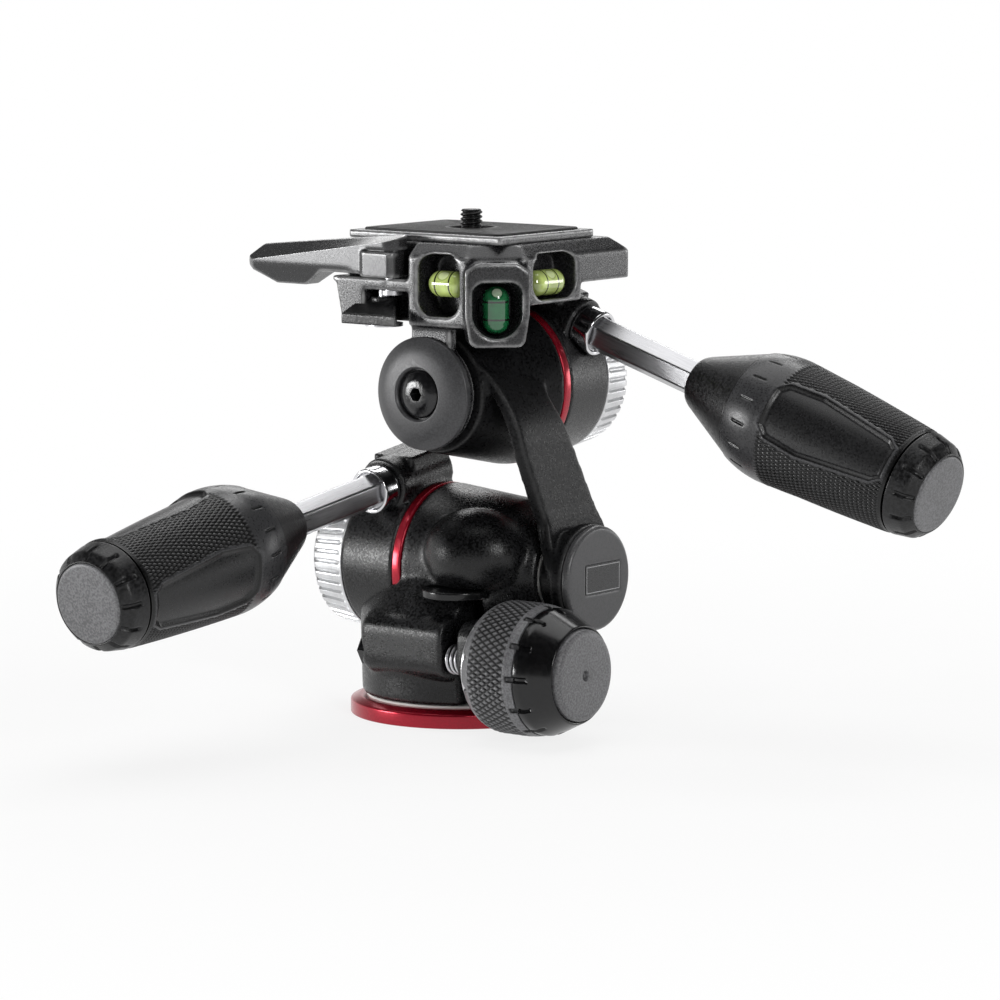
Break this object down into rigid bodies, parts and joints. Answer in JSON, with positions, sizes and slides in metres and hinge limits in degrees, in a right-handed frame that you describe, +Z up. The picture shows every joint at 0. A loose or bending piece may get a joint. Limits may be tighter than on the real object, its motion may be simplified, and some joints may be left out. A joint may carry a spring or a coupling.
{
  "type": "three way pan tilt head",
  "caption": "Three way pan and tilt tripod head with turning handles, friction rings, spirit levels and a quick release camera plate.",
  "frame": {"origin": "centre of the base ring's mounting face, on the pan axis and the tripod thread", "axes": "+Z up along the pan axis; the tilt axis lies along X and the lateral axis along Y; the lower handle points towards -Y and the upper one towards +X"},
  "size_m": [0.1995, 0.1804, 0.1407],
  "materials": {
    "red_anodised": "satin anodised",
    "black_casting": "fine grained satin coat",
    "gunmetal_casting": "satin coat",
    "machined_aluminium": "turned and knurled",
    "lever_aluminium": "satin grey",
    "dark_steel": "black oxide",
    "bright_steel": "ground",
    "chrome": "polished",
    "brass": "turned",
    "bearing_plastic": "low friction",
    "black_plastic": "fine grain",
    "black_rubber": "knurled",
    "label_black": "smooth",
    "level_yellow": "clear, yellow-green fluid",
    "level_green": "clear, green fluid"
  },
  "bodies": {
    "base": {"base_ring": "red_anodised", "thread_insert": "bright_steel", "pan_spigot": "machined_aluminium", "base_screws": "dark_steel", "pan_washer": "bearing_plastic"},
    "pan_body": {"pan_housing": "black_casting", "slot_cover": "black_plastic", "retaining_screw": "dark_steel", "clamp_bolt": "dark_steel", "clamp_spring": "bright_steel", "knob_washer": "bright_steel", "tilt_accent_ring": "red_anodised", "tilt_bushes": "bearing_plastic"},
    "pan_knob": {"pan_knob_hub": "black_plastic", "pan_knob_insert": "brass", "pan_knob_sleeve": "black_rubber", "pan_knob_ring": "black_plastic", "pan_knob_cap": "black_plastic"},
    "tilt_stage": {"tilt_shaft": "machined_aluminium", "tilt_handle_ring": "black_casting", "tilt_end_cover": "black_plastic", "tilt_end_screw": "dark_steel", "tilt_arm": "black_casting", "arm_bolt": "dark_steel", "arm_end_cap": "black_plastic", "label_plate": "label_black", "lateral_accent_ring": "red_anodised", "lateral_bushes": "bearing_plastic"},
    "tilt_friction": {"tilt_friction_ring": "machined_aluminium"},
    "lateral_stage": {"lateral_shaft": "machined_aluminium", "lateral_handle_ring": "black_casting", "lateral_end_cover": "black_plastic", "lateral_end_screw": "dark_steel", "qr_body": "gunmetal_casting", "front_cap": "black_plastic", "hex_screw": "dark_steel", "front_vial": "level_yellow", "side_vial": "level_yellow", "corner_vial": "level_green", "lever_pin": "bright_steel", "catch_pin": "dark_steel"},
    "lateral_friction": {"lateral_friction_ring": "machined_aluminium"},
    "lever": {"plate_lever": "lever_aluminium"},
    "catch": {"safety_catch": "black_plastic"},
    "plate": {"qr_plate": "black_casting", "plate_pad": "black_rubber"},
    "screw": {"camera_screw": "dark_steel"},
    "tilt_handle": {"tilt_rod": "chrome", "tilt_collar": "chrome"},
    "tilt_grip": {"tilt_grip_core": "black_plastic", "tilt_grip_sleeve": "black_rubber", "tilt_grip_ring": "black_plastic", "tilt_grip_cap": "black_plastic"},
    "lateral_handle": {"lateral_rod": "chrome", "lateral_collar": "chrome"},
    "lateral_grip": {"lateral_grip_core": "black_plastic", "lateral_grip_sleeve": "black_rubber", "lateral_grip_ring": "black_plastic", "lateral_grip_cap": "black_plastic"}
  },
  "joints": [
    {"name": "pan", "type": "hinge", "parent": "base", "child": "pan_body", "pos_m": [0, 0, 0], "axis": [0, 0, 1], "continuous": true},
    {"name": "pan_knob_turn", "type": "hinge", "parent": "pan_body", "child": "pan_knob", "pos_m": [0, -0.025, 0.0194], "axis": [1, 0, 0], "range_deg": [0, 270]},
    {"name": "tilt", "type": "hinge", "parent": "pan_body", "child": "tilt_stage", "pos_m": [0, 0, 0.0415], "axis": [1, 0, 0], "range_deg": [-90, 30]},
    {"name": "tilt_friction_turn", "type": "hinge", "parent": "tilt_stage", "child": "tilt_friction", "pos_m": [0, 0, 0.0415], "axis": [1, 0, 0], "range_deg": [-150, 150]},
    {"name": "lateral", "type": "hinge", "parent": "tilt_stage", "child": "lateral_stage", "pos_m": [0.0098, 0, 0.0922], "axis": [0, 1, 0], "range_deg": [-70, 30]},
    {"name": "lateral_friction_turn", "type": "hinge", "parent": "lateral_stage", "child": "lateral_friction", "pos_m": [0.0098, 0, 0.0922], "axis": [0, 1, 0], "range_deg": [-150, 150]},
    {"name": "tilt_handle_twist", "type": "hinge", "parent": "tilt_stage", "child": "tilt_handle", "pos_m": [-0.0152, -0.00362, 0.06543], "axis": [0, -0.9888, -0.1495], "range_deg": [0, 180]},
    {"name": "tilt_grip_slide", "type": "slide", "parent": "tilt_handle", "child": "tilt_grip", "axis": [0, -0.9888, -0.1495], "range_m": [0, 0.055]},
    {"name": "lateral_handle_twist", "type": "hinge", "parent": "lateral_stage", "child": "lateral_handle", "pos_m": [0.01617, 0.0195, 0.11179], "axis": [0.9511, 0, -0.309], "range_deg": [0, 180]},
    {"name": "lateral_grip_slide", "type": "slide", "parent": "lateral_handle", "child": "lateral_grip", "axis": [0.9511, 0, -0.309], "range_m": [0, 0.055]},
    {"name": "plate_lever_turn", "type": "hinge", "parent": "lateral_stage", "child": "lever", "pos_m": [-0.0026, -0.0272, 0.1232], "axis": [0, 0, 1], "range_deg": [0, 90]},
    {"name": "safety_catch_turn", "type": "hinge", "parent": "lateral_stage", "child": "catch", "pos_m": [-0.0068, -0.0254, 0.1106], "axis": [0, 0, 1], "range_deg": [0, 15], "stiffness_Nm_per_rad": 0.02},
    {"name": "plate_lift", "type": "slide", "parent": "lateral_stage", "child": "plate", "axis": [0, 0, 1], "range_m": [0, 0.03]},
    {"name": "camera_screw_turn", "type": "hinge", "parent": "plate", "child": "screw", "pos_m": [0.0045, -0.001, 0.1352], "axis": [0, 0, 1], "continuous": true}
  ]
}
